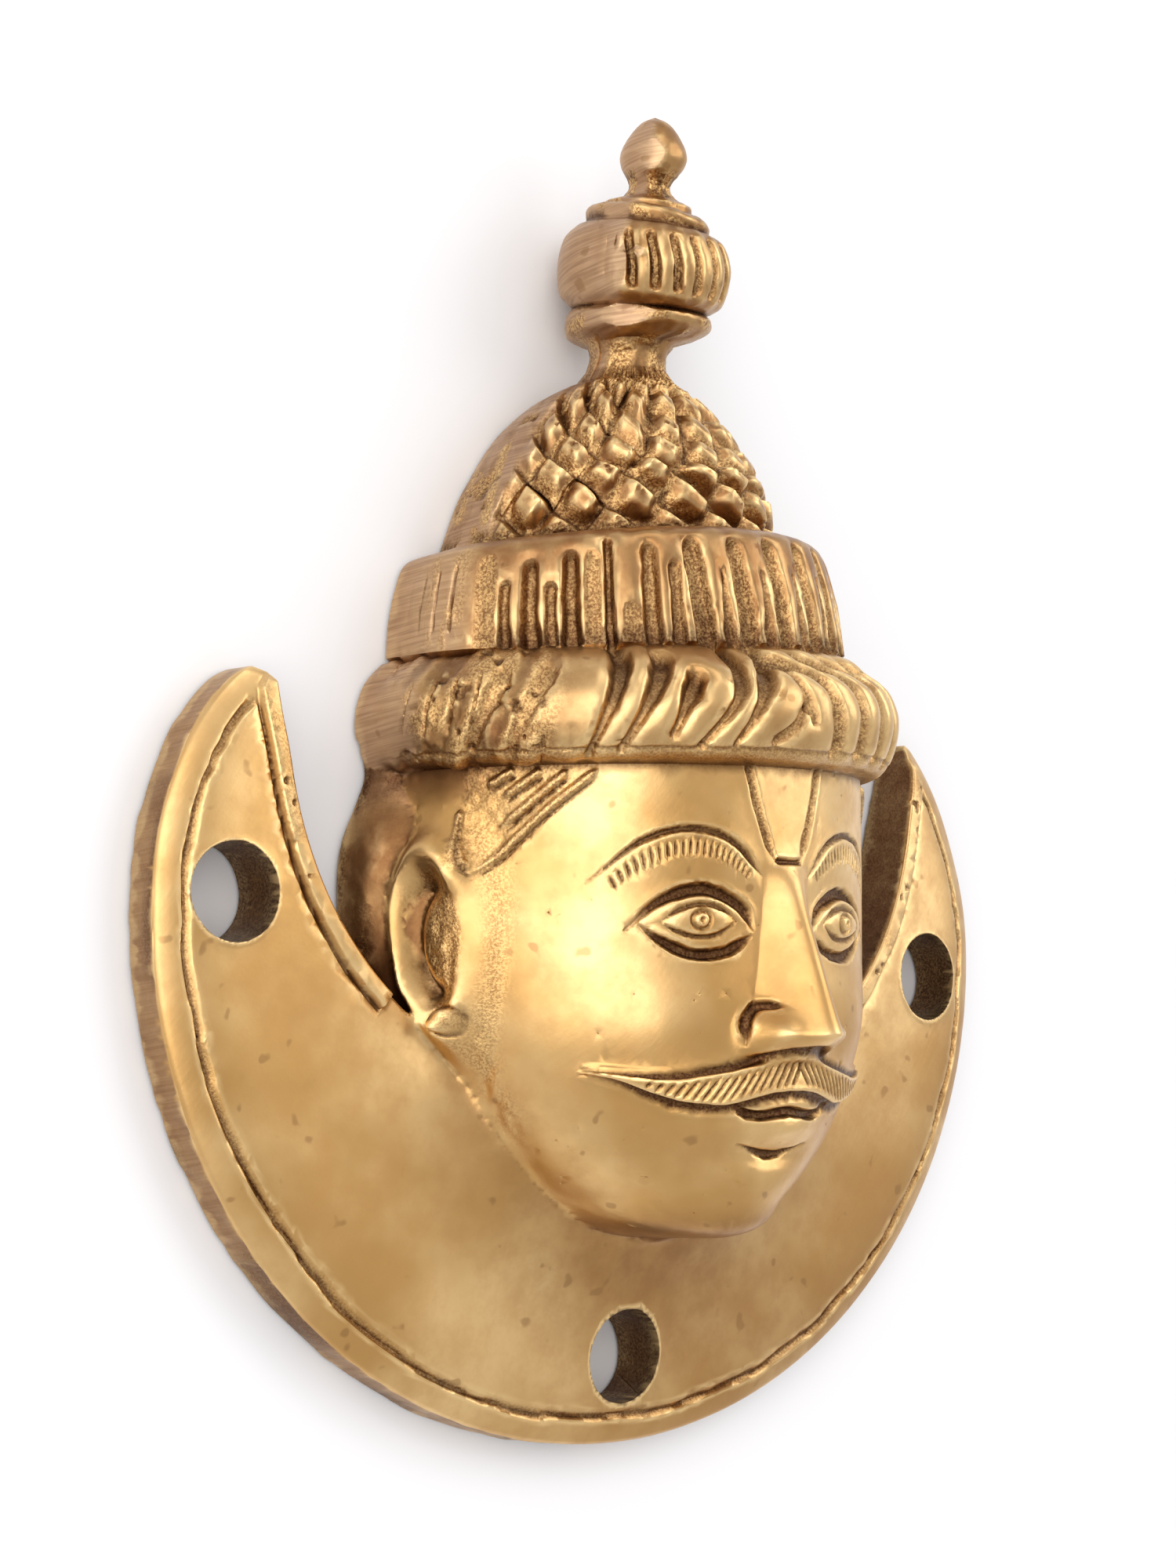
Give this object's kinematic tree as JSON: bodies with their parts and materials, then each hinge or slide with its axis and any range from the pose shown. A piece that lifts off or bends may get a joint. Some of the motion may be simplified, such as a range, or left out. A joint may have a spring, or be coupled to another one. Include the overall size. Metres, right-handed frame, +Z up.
{
  "type": "deity face wall plaque",
  "caption": "Cast brass head with a tall ribbed and scaled crown on a crescent plate with screw holes, made to be fixed flat to a wall or door.",
  "frame": {"origin": "middle of the crescent's outer ellipse, on the flat back that lies against the wall", "axes": "-Y out of the wall, the way the face looks; +Z up towards the crown's finial; +X to the viewer's right"},
  "size_m": [0.0928, 0.0296, 0.1118],
  "materials": {
    "brass": "aged satin"
  },
  "bodies": {
    "root": {"crescent_face_plaque": "brass"}
  },
  "joints": []
}
